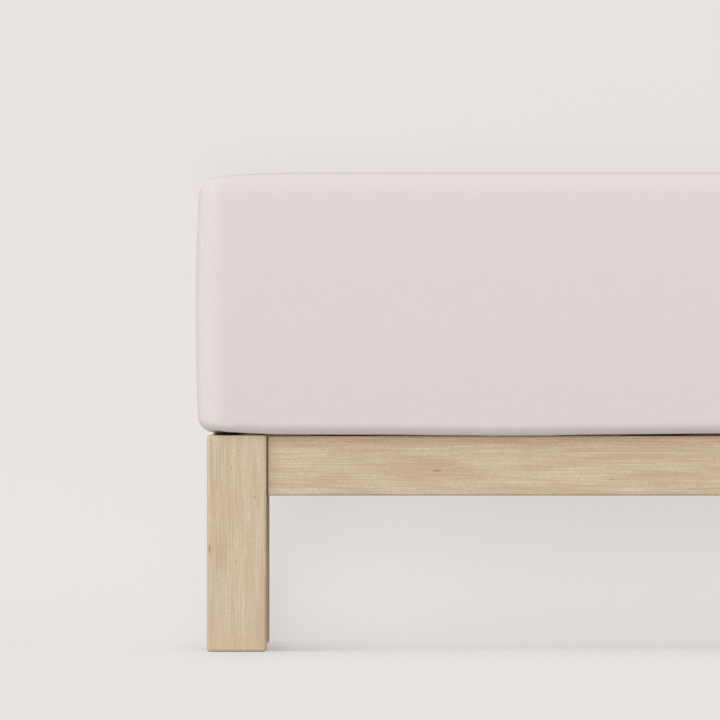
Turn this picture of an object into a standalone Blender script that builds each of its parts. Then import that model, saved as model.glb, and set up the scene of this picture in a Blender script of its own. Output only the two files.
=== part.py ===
# A fitted sheet stretched over a single mattress, which lies on a low wooden bed frame with a slatted base.
# Metres, +Z up. The origin is on the floor under the middle of the bed. +X runs along its length, and its
# long front faces -Y. The sheet is one thin shell: its top, its four sides, and the edge that is tucked
# under the mattress all round and leaves a rounded opening below.

import math
from collections import namedtuple

import bmesh
import bpy
from mathutils import Vector

# Bed frame
FRAME_LENGTH = 1.983
FRAME_WIDTH = 0.879
SEAT_HEIGHT = 0.218
LEG_SIDE = 0.060
LEG_EDGE = 0.0025
RAIL_HEIGHT = 0.0600
RAIL_THICKNESS = 0.025
RAIL_RECESS = 0.0030
RAIL_DROP = 0.0008
RAIL_EDGE = 0.0018
LEDGER_SIDE = 0.025
SLAT_COUNT = 12
SLAT_WIDTH = 0.070
SLAT_THICKNESS = 0.018
SLAT_SPAN = 1.705
SLAT_END_PLAY = 0.003
SMALL_EDGE = 0.0012
JOINT_GAP = 0.0003

# Sheet, measured on its outer skin
END_OVERHANG = 0.0115
SIDE_OVERHANG = 0.0135
SHEET_THICKNESS = 0.0015
REST_HEIGHT = SEAT_HEIGHT + JOINT_GAP
HALF_LENGTH = FRAME_LENGTH / 2 + END_OVERHANG
HALF_WIDTH = FRAME_WIDTH / 2 + SIDE_OVERHANG
PLAN_RADIUS = 0.026
BULGE_HEIGHT = 0.340
BULGE_HALF_SPAN = 0.115
BULGE_DEPTH = 0.0033
BULGE_POWER = 2.2
SIDE_TOP = BULGE_HEIGHT + BULGE_HALF_SPAN
TOP_ROUND_IN = 0.015
TOP_ROUND_UP = 0.0228
SHOULDER_START = BULGE_DEPTH + TOP_ROUND_IN
SHOULDER_RISE = 0.0047
SHOULDER_REACH = 0.028
SHOULDER_END = 0.070
SHOULDER_SPREAD = 0.4
LEAST_CORNER = 0.011
LIP_UP = 0.0135
LIP_IN = 0.0150
TUCK_WIDTH = 0.110
TUCK_CORNER = 0.150
TUCK_OUTER = 0.044

# Mattress, inside the sheet and rounder than it, so that the sheet clears its edges by 2 mm
COVER_GAP = 0.0004
MATTRESS_DEPTH = SHEET_THICKNESS + COVER_GAP
MATTRESS_EASE = 0.0040

# Steps of the two soft forms. Along the bed they are closer together near the corners.
LENGTH_STEPS = 24
LENGTH_CROWDING = 0.7
END_STEPS = 8
CORNER_STEPS = 4

# How far the lower edge is lifted off the seat, by the elastic that gathers it. It is highest at the corners
# and leaves a narrow dark gap over the frame. from_left runs along the bed.
EdgeLift = namedtuple("EdgeLift", "from_left front back")
EDGE_LIFTS = (
    EdgeLift(0.000, 0.0030, 0.0030),
    EdgeLift(0.018, 0.0038, 0.0035),
    EdgeLift(0.035, 0.0024, 0.0026),
    EdgeLift(0.055, 0.0013, 0.0018),
    EdgeLift(0.078, 0.0009, 0.0010),
    EdgeLift(0.190, 0.0006, 0.0003),
    EdgeLift(0.306, 0.0000, 0.0006),
    EdgeLift(0.400, 0.0007, 0.0011),
    EdgeLift(0.517, 0.0018, 0.0003),
    EdgeLift(0.760, 0.0003, 0.0000),
    EdgeLift(1.010, 0.0000, 0.0007),
    EdgeLift(1.270, 0.0012, 0.0013),
    EdgeLift(1.520, 0.0000, 0.0002),
    EdgeLift(1.760, 0.0009, 0.0004),
    EdgeLift(1.940, 0.0014, 0.0015),
    EdgeLift(1.988, 0.0034, 0.0036),
    EdgeLift(2.006, 0.0030, 0.0030),
)

# Soft rises and dips of the top
TopSwell = namedtuple("TopSwell", "from_left from_front reach rise")
TOP_SWELLS = (
    TopSwell(0.210, 0.30, 0.10, 0.0008),
    TopSwell(0.350, 0.62, 0.13, -0.0007),
    TopSwell(0.530, 0.45, 0.12, 0.0009),
    TopSwell(0.840, 0.28, 0.16, -0.0009),
    TopSwell(1.050, 0.60, 0.18, 0.0007),
    TopSwell(1.340, 0.38, 0.17, -0.0008),
    TopSwell(1.560, 0.55, 0.15, 0.0008),
    TopSwell(1.800, 0.33, 0.13, 0.0005),
)

Section = namedtuple("Section", "inset height corner")


def clear_scene():
    for obj in list(bpy.data.objects):
        bpy.data.objects.remove(obj)


def make_material(name, colour, roughness):
    material = bpy.data.materials.new(name)
    material.use_nodes = True
    shader = material.node_tree.nodes["Principled BSDF"]
    shader.inputs["Base Color"].default_value = (*colour, 1.0)
    shader.inputs["Roughness"].default_value = roughness
    shader.inputs["Metallic"].default_value = 0.0
    return material


def add_object(name, mesh, material, location=(0.0, 0.0, 0.0)):
    mesh.materials.append(material)
    obj = bpy.data.objects.new(name, mesh)
    obj.location = location
    bpy.context.scene.collection.objects.link(obj)
    return obj


# Wooden frame


def block_mesh(name, size, edge, segments):
    """A block with eased edges around its own middle."""
    mesh = bpy.data.meshes.new(name)
    block = bmesh.new()
    bmesh.ops.create_cube(block, size=1.0)
    bmesh.ops.scale(block, vec=Vector(size), verts=block.verts)
    bmesh.ops.bevel(block, geom=block.edges[:], offset=edge, segments=segments, profile=0.5, affect="EDGES")
    block.to_mesh(mesh)
    block.free()
    mesh.shade_smooth()
    mesh.set_sharp_from_angle(angle=math.radians(50))
    return mesh


def add_block(name, low, high, edge, segments, material):
    """A block between two corners of its box."""
    low, high = Vector(low), Vector(high)
    mesh = block_mesh(name, high - low, edge, segments)
    return add_object(name, mesh, material, (low + high) / 2)


def build_legs(material):
    x = (FRAME_LENGTH - LEG_SIDE) / 2
    y = (FRAME_WIDTH - LEG_SIDE) / 2
    for end, side_x in (("left", -1), ("right", 1)):
        for face, side_y in (("front", -1), ("back", 1)):
            mesh = block_mesh(f"leg_{face}_{end}", (LEG_SIDE, LEG_SIDE, SEAT_HEIGHT), LEG_EDGE, 2)
            add_object(mesh.name, mesh, material, (side_x * x, side_y * y, SEAT_HEIGHT / 2))


def build_rails(material):
    high_z = SEAT_HEIGHT - RAIL_DROP
    low_z = high_z - RAIL_HEIGHT
    reach_x = FRAME_LENGTH / 2 - LEG_SIDE - JOINT_GAP
    reach_y = FRAME_WIDTH / 2 - LEG_SIDE - JOINT_GAP
    outer_x = FRAME_LENGTH / 2 - RAIL_RECESS
    outer_y = FRAME_WIDTH / 2 - RAIL_RECESS
    inner_x = outer_x - RAIL_THICKNESS
    inner_y = outer_y - RAIL_THICKNESS
    boxes = {
        "rail_front": ((-reach_x, -outer_y), (reach_x, -inner_y)),
        "rail_back": ((-reach_x, inner_y), (reach_x, outer_y)),
        "rail_left": ((-outer_x, -reach_y), (-inner_x, reach_y)),
        "rail_right": ((inner_x, -reach_y), (outer_x, reach_y)),
    }
    for name, (low, high) in boxes.items():
        add_block(name, (*low, low_z), (*high, high_z), RAIL_EDGE, 2, material)


def build_ledgers(material):
    """Battens along the inner faces of the long rails, which carry the slats."""
    top = SEAT_HEIGHT - SLAT_THICKNESS - JOINT_GAP
    reach_x = FRAME_LENGTH / 2 - LEG_SIDE - JOINT_GAP
    outer_y = FRAME_WIDTH / 2 - RAIL_RECESS - RAIL_THICKNESS - JOINT_GAP
    inner_y = outer_y - LEDGER_SIDE
    for name, ends in (("ledger_front", (-outer_y, -inner_y)), ("ledger_back", (inner_y, outer_y))):
        low = (-reach_x, ends[0], top - LEDGER_SIDE)
        high = (reach_x, ends[1], top)
        add_block(name, low, high, SMALL_EDGE, 1, material)


def build_slats(material):
    reach_y = FRAME_WIDTH / 2 - RAIL_RECESS - RAIL_THICKNESS - SLAT_END_PLAY
    pitch = SLAT_SPAN / (SLAT_COUNT - 1)
    for index in range(SLAT_COUNT):
        x = index * pitch - SLAT_SPAN / 2
        low = (x - SLAT_WIDTH / 2, -reach_y, SEAT_HEIGHT - SLAT_THICKNESS)
        high = (x + SLAT_WIDTH / 2, reach_y, SEAT_HEIGHT)
        add_block(f"slat_{index + 1:02d}", low, high, SMALL_EDGE, 1, material)


# Soft forms


def smooth_step(value, start, end):
    share = min(max((value - start) / (end - start), 0.0), 1.0)
    return share * share * (3 - 2 * share)


def mix(first, second, share):
    return first + (second - first) * share


def edge_lift(place):
    """How far the lower edge is lifted at this place of the outline."""
    from_left = place.x + HALF_LENGTH
    side = "front" if place.y < 0 else "back"
    for near, far in zip(EDGE_LIFTS, EDGE_LIFTS[1:]):
        if from_left <= far.from_left:
            share = smooth_step(from_left, near.from_left, far.from_left)
            return mix(getattr(near, side), getattr(far, side), share)
    return getattr(EDGE_LIFTS[-1], side)


def top_height(x, y):
    """The sheet's top: low shoulders near the outline, soft swells over the rest."""
    rise = SHOULDER_RISE
    for edge in (HALF_LENGTH - abs(x), HALF_WIDTH - abs(y)):
        rise *= 1 - math.exp(-max(edge - SHOULDER_START, 0.0) / SHOULDER_REACH)
    swell = 0.0
    for centre in TOP_SWELLS:
        distance = math.hypot(x + HALF_LENGTH - centre.from_left, y + HALF_WIDTH - centre.from_front)
        swell += centre.rise * math.exp(-((distance / centre.reach) ** 2))
    return SIDE_TOP + TOP_ROUND_UP + rise + swell * rise / SHOULDER_RISE


def bulge(height):
    """How far the side draws in from its widest line at this height."""
    share = abs(height - BULGE_HEIGHT) / BULGE_HALF_SPAN
    return BULGE_DEPTH * share**BULGE_POWER


def ring_corner(inset, ease):
    """Corner radius of a ring at this inset. It never shrinks to a point."""
    return max(PLAN_RADIUS + ease - inset, LEAST_CORNER)


def side_sections(place, depth, ease, steps):
    """One column of a soft form, from the bottom of its lower edge up to its top edge. depth is how far
    inside the sheet's outer skin it lies, and ease makes its edges rounder."""
    lip_in = LIP_IN + ease
    lip_up = LIP_UP + ease
    lip_top = REST_HEIGHT + depth + edge_lift(place) + lip_up
    side_top = SIDE_TOP - depth - ease
    line = []
    for step in range(steps["lip"]):
        angle = math.pi / 2 * step / steps["lip"]
        inset = bulge(lip_top) + depth + lip_in * (1 - math.sin(angle))
        line.append((inset, lip_top - lip_up * math.cos(angle)))
    for step in range(steps["side"]):
        height = mix(lip_top, side_top, step / steps["side"])
        line.append((bulge(height) + depth, height))
    for step in range(steps["top"]):
        angle = math.pi / 2 * step / steps["top"]
        inset = bulge(side_top) + depth + (TOP_ROUND_IN + ease) * (1 - math.cos(angle))
        line.append((inset, side_top + (TOP_ROUND_UP + ease) * math.sin(angle)))
    return [Section(inset, height, ring_corner(inset, ease)) for inset, height in line]


def tuck_sections(place, depth):
    """One column of a soft form's underside, from the tuck's inner border outwards. It lies on the seat at
    the border and rises to the lifted lower edge."""
    line = []
    for inset, corner in (
        (TUCK_WIDTH, TUCK_CORNER),
        ((TUCK_WIDTH + TUCK_OUTER) / 2, (TUCK_CORNER + LEAST_CORNER) / 2),
        (TUCK_OUTER, LEAST_CORNER),
    ):
        rise = ((TUCK_WIDTH - inset) / (TUCK_WIDTH - LIP_IN)) ** 2
        line.append(Section(inset, REST_HEIGHT + depth + edge_lift(place) * rise, corner))
    return line


def crowded(share):
    """Shares of a long side, closer together near its ends."""
    return share - LENGTH_CROWDING * math.sin(2 * math.pi * share) / (2 * math.pi)


def ring(inset, corner):
    """Points of a rounded rectangle, counter-clockwise from above, as many at any size."""
    half = (HALF_LENGTH - inset, HALF_WIDTH - inset)
    arcs = []
    for quarter, signs in enumerate(((1, -1), (1, 1), (-1, 1), (-1, -1))):
        centre = Vector([sign * (reach - corner) for sign, reach in zip(signs, half)])
        angles = [math.pi / 2 * (quarter - 1 + step / CORNER_STEPS) for step in range(CORNER_STEPS + 1)]
        arcs.append([centre + corner * Vector((math.cos(angle), math.sin(angle))) for angle in angles])
    end_shares = [step / END_STEPS for step in range(1, END_STEPS)]
    length_shares = [crowded(step / LENGTH_STEPS) for step in range(1, LENGTH_STEPS)]
    points = []
    for index, arc in enumerate(arcs):
        following = arcs[(index + 1) % 4][0]
        points += arc
        points += [arc[-1].lerp(following, share) for share in (length_shares if index % 2 else end_shares)]
    return points


def outer_rows(depth, ease, steps):
    """Points of a soft form's underside and sides, one list for each row round the form."""
    columns = []
    for place in ring(0.0, PLAN_RADIUS):
        columns.append(tuck_sections(place, depth) + side_sections(place, depth, ease, steps))
    rows = []
    for sections in zip(*columns):
        places = [ring(section.inset, section.corner)[column] for column, section in enumerate(sections)]
        rows.append([Vector((*place, section.height)) for place, section in zip(places, sections)])
    return rows


def shoulder_rows(depth, ease, steps):
    """Points of the rows from the top edge to the border of the top's flat middle."""
    rows = []
    start = SHOULDER_START + depth + ease
    for step in range(steps + 1):
        inset = mix(start, SHOULDER_END, step / steps)
        corner = ring_corner(inset, ease) + SHOULDER_SPREAD * (inset - start)
        rows.append([Vector((*place, top_height(*place) - depth)) for place in ring(inset, corner)])
    return rows


def cap_faces(form, border, height_at, faces_up):
    """Fills a ring of vertices with a grid whose corners are the middles of the ring's corners."""
    first = CORNER_STEPS // 2
    border = border[first:] + border[:first]
    along, across = LENGTH_STEPS + CORNER_STEPS, END_STEPS + CORNER_STEPS
    right = border[: across + 1]
    back = border[across : across + along + 1][::-1]
    left = border[across + along : 2 * across + along + 1][::-1]
    front = border[2 * across + along :] + border[:1]
    lattice = [[None] * (across + 1) for _ in range(along + 1)]
    for i in range(along + 1):
        lattice[i][0], lattice[i][across] = front[i], back[i]
    for j in range(across + 1):
        lattice[0][j], lattice[along][j] = left[j], right[j]
    for i in range(1, along):
        for j in range(1, across):
            u, v = i / along, j / across
            sides = front[i].co.lerp(back[i].co, v) + left[j].co.lerp(right[j].co, u)
            corners = front[0].co.lerp(front[-1].co, u).lerp(back[0].co.lerp(back[-1].co, u), v)
            place = (sides - corners).xy
            lattice[i][j] = form.verts.new((*place, height_at(*place)))
    for i in range(along):
        for j in range(across):
            face = [lattice[i][j], lattice[i + 1][j], lattice[i + 1][j + 1], lattice[i][j + 1]]
            form.faces.new(face if faces_up else face[::-1])


def skin_faces(form, points):
    """Faces between the rows of points. Returns the vertices, row by row."""
    rows = [[form.verts.new(point) for point in row] for row in points]
    for lower, upper in zip(rows, rows[1:]):
        for column in range(len(lower)):
            beside = (column + 1) % len(lower)
            form.faces.new([lower[column], lower[beside], upper[beside], upper[column]])
    return rows


def finish_soft(name, form, material):
    mesh = bpy.data.meshes.new(name)
    form.to_mesh(mesh)
    form.free()
    mesh.shade_smooth()
    return add_object(name, mesh, material)


def build_sheet(material):
    steps = {"lip": 5, "side": 5, "top": 5, "shoulder": 3}
    form = bmesh.new()
    rows = skin_faces(form, outer_rows(0.0, 0.0, steps) + shoulder_rows(0.0, 0.0, steps["shoulder"]))
    cap_faces(form, rows[-1], top_height, True)
    sheet = finish_soft("fitted_sheet", form, material)
    shell = sheet.modifiers.new("Thickness", "SOLIDIFY")
    shell.thickness = SHEET_THICKNESS
    shell.offset = -1.0
    shell.use_even_offset = True


def build_mattress(material):
    """A closed block with the sheet's form, just inside it. It lies on the tucked edge."""
    steps = {"lip": 3, "side": 4, "top": 3, "shoulder": 1}
    depth, ease = MATTRESS_DEPTH, MATTRESS_EASE
    form = bmesh.new()
    rows = skin_faces(form, outer_rows(depth, ease, steps) + shoulder_rows(depth, ease, steps["shoulder"]))
    cap_faces(form, rows[-1], lambda x, y: top_height(x, y) - depth, True)
    cap_faces(form, rows[0], lambda x, y: REST_HEIGHT + depth, False)
    finish_soft("mattress", form, material)


def main():
    clear_scene()
    frame_wood = make_material("frame_wood", (0.62, 0.48, 0.34), 0.55)
    slat_wood = make_material("slat_wood", (0.66, 0.54, 0.40), 0.65)
    sheet_cloth = make_material("sheet_cloth", (0.75, 0.68, 0.66), 0.85)
    mattress_cover = make_material("mattress_cover", (0.80, 0.79, 0.76), 0.90)
    build_legs(frame_wood)
    build_rails(frame_wood)
    build_ledgers(slat_wood)
    build_slats(slat_wood)
    build_sheet(sheet_cloth)
    build_mattress(mattress_cover)


main()
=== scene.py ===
import math
import random

import bpy
from mathutils import Euler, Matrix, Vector


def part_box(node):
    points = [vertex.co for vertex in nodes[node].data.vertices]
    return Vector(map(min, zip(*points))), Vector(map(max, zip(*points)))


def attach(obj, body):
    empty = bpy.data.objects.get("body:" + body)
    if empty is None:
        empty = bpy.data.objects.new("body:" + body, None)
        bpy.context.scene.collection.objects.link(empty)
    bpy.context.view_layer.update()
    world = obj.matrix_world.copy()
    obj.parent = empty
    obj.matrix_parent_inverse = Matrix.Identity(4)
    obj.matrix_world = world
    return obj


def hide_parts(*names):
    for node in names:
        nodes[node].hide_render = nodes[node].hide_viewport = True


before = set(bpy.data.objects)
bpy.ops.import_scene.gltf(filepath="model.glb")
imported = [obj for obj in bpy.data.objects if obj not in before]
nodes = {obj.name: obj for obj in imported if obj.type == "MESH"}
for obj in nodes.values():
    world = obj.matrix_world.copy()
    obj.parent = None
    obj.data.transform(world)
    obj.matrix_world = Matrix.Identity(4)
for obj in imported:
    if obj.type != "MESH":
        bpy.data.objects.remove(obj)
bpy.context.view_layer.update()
bpy.ops.object.select_all(action="DESELECT")
print("frame loaded,", len(nodes), "nodes")

# places that the frame gives
sheetLow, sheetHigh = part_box("fitted_sheet")
halfLength = sheetHigh.x
halfWidth = sheetHigh.y
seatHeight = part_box("leg_front_left")[1].z
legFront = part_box("leg_front_left")[0].y


# the camera stands far off, level, at the photo's middle
photoFrame = {
    "side": 720,  # pixels
    "pixelSize": 0.0010067,  # metres at the leg's front
    "leftOutline": 195.6,  # pixel column of the sheet's left outline
    "floorLine": 651.7,  # pixel row of the leg's foot
    "distance": 28.0,
    "reach": (1.0, 400.0),  # the nearest and the farthest that it sees
    "sensor": 36.0,  # millimetres
}


def makeCamera(values):
    middle = values["side"] / 2
    data = bpy.data.cameras.new("photo_camera")
    data.sensor_width = values["sensor"]
    data.lens = values["sensor"] * values["distance"] / (values["side"] * values["pixelSize"])
    data.clip_start, data.clip_end = values["reach"]
    camera = bpy.data.objects.new("photo_camera", data)
    camera.location = (
        sheetLow.x + (middle - values["leftOutline"]) * values["pixelSize"],
        legFront - values["distance"],
        (values["floorLine"] - middle) * values["pixelSize"],
    )
    camera.rotation_euler = (math.radians(90), 0, 0)
    bpy.context.scene.collection.objects.link(camera)
    bpy.context.scene.camera = camera


makeCamera(photoFrame)
print("camera placed")


wholeNoise = (0.2, 0.8)  # nearly all values of a noise lie between these


# short ways of adding shader nodes
def feed(tree, socket, value):
    # value is a constant or another node's output
    if isinstance(value, bpy.types.NodeSocket):
        tree.links.new(value, socket)
    elif socket.type == "RGBA":
        socket.default_value = (*value, 1.0)
    else:
        socket.default_value = value


def addNode(tree, kind, place, **settings):
    node = tree.nodes.new(kind)
    node.location = place
    for name, value in settings.items():
        setattr(node, name, value)
    return node


def addFed(tree, kind, place, values, **settings):
    # a node whose first inputs get these values
    node = addNode(tree, kind, place, **settings)
    for socket, value in zip(node.inputs, values):
        feed(tree, socket, value)
    return node


def addMath(tree, operation, place, *values):
    return addFed(tree, "ShaderNodeMath", place, values, operation=operation).outputs[0]


def addVectorMath(tree, operation, place, *values):
    node = addFed(tree, "ShaderNodeVectorMath", place, values, operation=operation)
    return node.outputs["Value" if operation == "DOT_PRODUCT" else "Vector"]


def addSplit(tree, place, vector):
    return addFed(tree, "ShaderNodeSeparateXYZ", place, [vector]).outputs


def addNoise(tree, place, vector, scales, detail=2.0, roughness=0.5):
    # a noise whose scale differs along each direction, in features per metre
    stretched = addVectorMath(tree, "MULTIPLY", (place[0] - 180, place[1]), vector, scales)
    noise = addNode(tree, "ShaderNodeTexNoise", place)
    values = {"Vector": stretched, "Scale": 1.0, "Detail": detail, "Roughness": roughness}
    for name, value in values.items():
        feed(tree, noise.inputs[name], value)
    return noise.outputs["Fac"]


def addRange(tree, place, value, fromLow, fromHigh, toLow=0.0, toHigh=1.0):
    values = (value, fromLow, fromHigh, toLow, toHigh)
    node = addFed(tree, "ShaderNodeMapRange", place, values, interpolation_type="SMOOTHSTEP")
    return node.outputs["Result"]


def addCurve(tree, place, value, stops):
    # a value that follows stops, each a position and an amount
    low, high = stops[0][0], stops[-1][0]
    span = high - low
    share = addMath(tree, "MULTIPLY_ADD", (place[0] - 180, place[1]), value, 1 / span, -low / span)
    node = addFed(tree, "ShaderNodeValToRGB", place, [share])
    curve = node.color_ramp.elements
    curve[0].color = (stops[0][1],) * 3 + (1,)
    curve[1].color = (stops[-1][1],) * 3 + (1,)
    for position, amount in stops[1:-1]:
        curve.new((position - low) / span).color = (amount,) * 3 + (1,)
    return node.outputs["Color"]


def addKnotMask(tree, place, vector, scales):
    # 1 at the knot's middle, fading outwards
    stretched = addVectorMath(tree, "MULTIPLY", (place[0] - 180, place[1]), vector, scales)
    square = addVectorMath(tree, "DOT_PRODUCT", place, stretched, stretched)
    less = addMath(tree, "MULTIPLY", (place[0] + 160, place[1]), square, -1.0)
    return addMath(tree, "EXPONENT", (place[0] + 320, place[1]), less)


def addMapping(tree, place, vector, offset, turn=(0, 0, 0)):
    return addFed(tree, "ShaderNodeMapping", place, (vector, offset, turn)).outputs[0]


def addMix(tree, place, share, first, second):
    node = addFed(tree, "ShaderNodeMix", place, [share], data_type="RGBA")
    feed(tree, node.inputs[6], first)
    feed(tree, node.inputs[7], second)
    return node.outputs[2]


def addBump(tree, place, height, strength, distance):
    node = addNode(tree, "ShaderNodeBump", place)
    for name, value in {"Strength": strength, "Distance": distance, "Height": height}.items():
        feed(tree, node.inputs[name], value)
    return node.outputs["Normal"]


def newGroup(name, vectors, numbers, results):
    # a node group with vector inputs, number inputs with their own values, and number outputs
    group = bpy.data.node_groups.new(name, "ShaderNodeTree")
    sockets = group.interface
    for socketName in vectors:
        sockets.new_socket(name=socketName, in_out="INPUT", socket_type="NodeSocketVector")
    for socketName, value in numbers.items():
        socket = sockets.new_socket(name=socketName, in_out="INPUT", socket_type="NodeSocketFloat")
        socket.default_value = value
    for socketName in results:
        sockets.new_socket(name=socketName, in_out="OUTPUT", socket_type="NodeSocketFloat")
    start = addNode(group, "NodeGroupInput", (-1900, 0))
    end = addNode(group, "NodeGroupOutput", (1000, 0))
    return group, start.outputs, end.inputs


def addGroup(tree, place, group, given):
    node = addNode(tree, "ShaderNodeGroup", place, node_tree=group)
    for name, value in given.items():
        feed(tree, node.inputs[name], value)
    return node.outputs


def newMaterial(name, constants):
    material = bpy.data.materials.new(name)
    material.use_nodes = True
    shader = material.node_tree.nodes["Principled BSDF"]
    for socketName, value in constants.items():
        shader.inputs[socketName].default_value = value
    return material, material.node_tree, shader


# the weave is shared by the sheet and the mattress cover; its scales are in features per metre
weaveForm = {
    "acrossScale": (45, 1500, 45),
    "alongScale": (1500, 45, 1500),
    "blotchScale": (14, 14, 14),
    "streakRange": (0.35, 0.65),  # the part of the streaks' values that shows
    "streakRelief": 1.2,  # height of the streaks next to that of the threads
}


def makeWeaveGroup(form):
    group, given, result = newGroup(
        "clothWeave", ["Vector"], {"Thread": 0.0005}, ["Streaks", "Blotches", "Height"])
    place = given["Vector"]
    across = addNoise(group, (-800, 300), place, form["acrossScale"])
    along = addNoise(group, (-800, 50), place, form["alongScale"])
    streaks = addMath(group, "ADD", (-500, 200), across, along)
    feed(group, result["Streaks"], addMath(group, "MULTIPLY", (-300, 200), streaks, 0.5))
    feed(group, result["Blotches"], addNoise(group, (-800, -200), place, form["blotchScale"], detail=3.0))
    # over-and-under threads
    split = addSplit(group, (-1000, -450), place)
    waves = []
    for index, axis in enumerate(("X", "Y")):
        row = -450 - 180 * index
        turns = addMath(group, "DIVIDE", (-800, row), split[axis], given["Thread"])
        angle = addMath(group, "MULTIPLY", (-640, row), turns, math.pi)
        waves.append(addMath(group, "SINE", (-480, row), angle))
    weave = addMath(group, "MULTIPLY", (-300, -500), *waves)
    height = addMath(group, "MULTIPLY_ADD", (-100, -300), streaks, form["streakRelief"], weave)
    feed(group, result["Height"], height)
    return group


weaveGroup = makeWeaveGroup(weaveForm)


# wood, shared by every board; its scales are in features per metre, along the fibres first
grainForm = {
    "waverScale": (3.5, 14, 14),
    "unevenScale": (7, 110, 110),
    "lineScale": (20, 1050, 1050),
    "fibreScale": (55, 800, 800),
    "speckleScale": (420, 640, 640),
    "streakScale": (9, 70, 70),
    "fleckScale": (55, 80, 80),
    "fleckSize": (0.035, 0.070),
    "lineRange": (0.3, 0.7),  # the part of the lines' values that shows
    "streakRange": (0.36, 0.68),
    "ringStrength": (0.2, 1.0),
    "haloScale": (30, 22, 70),  # one over the size of the stretch that a knot pushes aside
    "coreScale": (260, 60, 850),  # one over the size of its dark core
    "haloBlush": 0.25,  # how much pinker the wood is round a knot
    "ringDrift": 0.9,
    "driftScale": 0.4,  # changes in the rings' pitch for each ring
    "fibreRelief": 0.8,  # height of the fibres next to that of the rings
}


def makeGrainGroup(form):
    # the vector's X runs along the fibres, and its Y and Z are counted from the tree's pith
    group, given, result = newGroup(
        "woodGrain",
        ["Vector", "From Knot"],
        {"Knot Push": 0.0, "Ring Pitch": 0.0026, "Waver": 0.006, "Heart From": 10.0, "Heart To": 11.0},
        ["Rings", "Lines", "Fibres", "Speckle", "Streaks", "Flecks", "Heart", "Knot", "Height"],
    )
    place = given["Vector"]
    # distance from the pith, wavering along the board and pushed aside at the knot
    split = addSplit(group, (-1700, 300), place)
    squareY = addMath(group, "MULTIPLY", (-1540, 380), split["Y"], split["Y"])
    squareZ = addMath(group, "MULTIPLY", (-1540, 220), split["Z"], split["Z"])
    radius = addMath(group, "SQRT", (-1220, 300), addMath(group, "ADD", (-1380, 300), squareY, squareZ))
    slow = addNoise(group, (-1220, 60), place, form["waverScale"], roughness=0.45)
    lean = addMath(group, "SUBTRACT", (-1040, 60), slow, 0.5)
    bent = addMath(group, "MULTIPLY_ADD", (-880, 240), lean, given["Waver"], radius)
    halo = addKnotMask(group, (-1220, 620), given["From Knot"], form["haloScale"])
    bent = addMath(group, "MULTIPLY_ADD", (-720, 300), halo, given["Knot Push"], bent)
    core = addKnotMask(group, (-1220, 860), given["From Knot"], form["coreScale"])
    # a board without a knot pushes nothing aside
    shown = addMath(group, "GREATER_THAN", (-720, 800), given["Knot Push"], 0.0001)
    feed(group, result["Knot"], addMath(group, "MULTIPLY", (-520, 800), core, shown))
    heart = addRange(group, (-520, 560), bent, given["Heart From"], given["Heart To"])
    feed(group, result["Heart"], heart)

    # growth rings, a little uneven in pitch and strength
    count = addMath(group, "DIVIDE", (-520, 240), bent, given["Ring Pitch"])
    drift = addNode(group, "ShaderNodeTexNoise", (-360, 100), noise_dimensions="1D")
    for name, value in {"W": count, "Scale": form["driftScale"], "Detail": 1.0}.items():
        feed(group, drift.inputs[name], value)
    turns = addMath(group, "MULTIPLY_ADD", (-180, 240), drift.outputs["Fac"], form["ringDrift"], count)
    wave = addMath(group, "SINE", (140, 240), addMath(group, "MULTIPLY", (-20, 240), turns, 2 * math.pi))
    line = addMath(group, "MULTIPLY_ADD", (300, 240), wave, 0.5, 0.5)
    uneven = addNoise(group, (-20, 420), place, form["unevenScale"])
    strength = addRange(group, (140, 420), uneven, *form["lineRange"], *form["ringStrength"])
    rings = addMath(group, "MULTIPLY", (460, 300), line, strength)
    feed(group, result["Rings"], rings)

    lines = addNoise(group, (-200, 0), place, form["lineScale"], detail=1.0)
    feed(group, result["Lines"], addRange(group, (0, 0), lines, *form["lineRange"]))
    fibres = addNoise(group, (-200, -200), place, form["fibreScale"], roughness=0.6)
    feed(group, result["Fibres"], fibres)
    speckle = addNoise(group, (-200, -400), place, form["speckleScale"], detail=0.0)
    feed(group, result["Speckle"], addRange(group, (0, -400), speckle, *form["lineRange"]))
    near = addMath(group, "MULTIPLY", (-380, -760), halo, shown)
    streaks = addNoise(group, (-200, -600), place, form["streakScale"], detail=3.0, roughness=0.6)
    streaks = addMath(group, "MULTIPLY_ADD", (0, -600), near, form["haloBlush"], streaks)
    feed(group, result["Streaks"], addRange(group, (160, -600), streaks, *form["streakRange"]))
    # a few small dark flecks, about 500 on a square metre
    spots = addVectorMath(group, "MULTIPLY", (-380, -900), place, form["fleckScale"])
    cells = addNode(group, "ShaderNodeTexVoronoi", (-200, -900))
    feed(group, cells.inputs["Vector"], spots)
    feed(group, cells.inputs["Scale"], 1.0)
    flecks = addRange(group, (0, -900), cells.outputs["Distance"], *form["fleckSize"], 1.0, 0.0)
    feed(group, result["Flecks"], flecks)
    height = addMath(group, "MULTIPLY_ADD", (620, 0), fibres, form["fibreRelief"], rings)
    feed(group, result["Height"], height)
    return group


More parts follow.
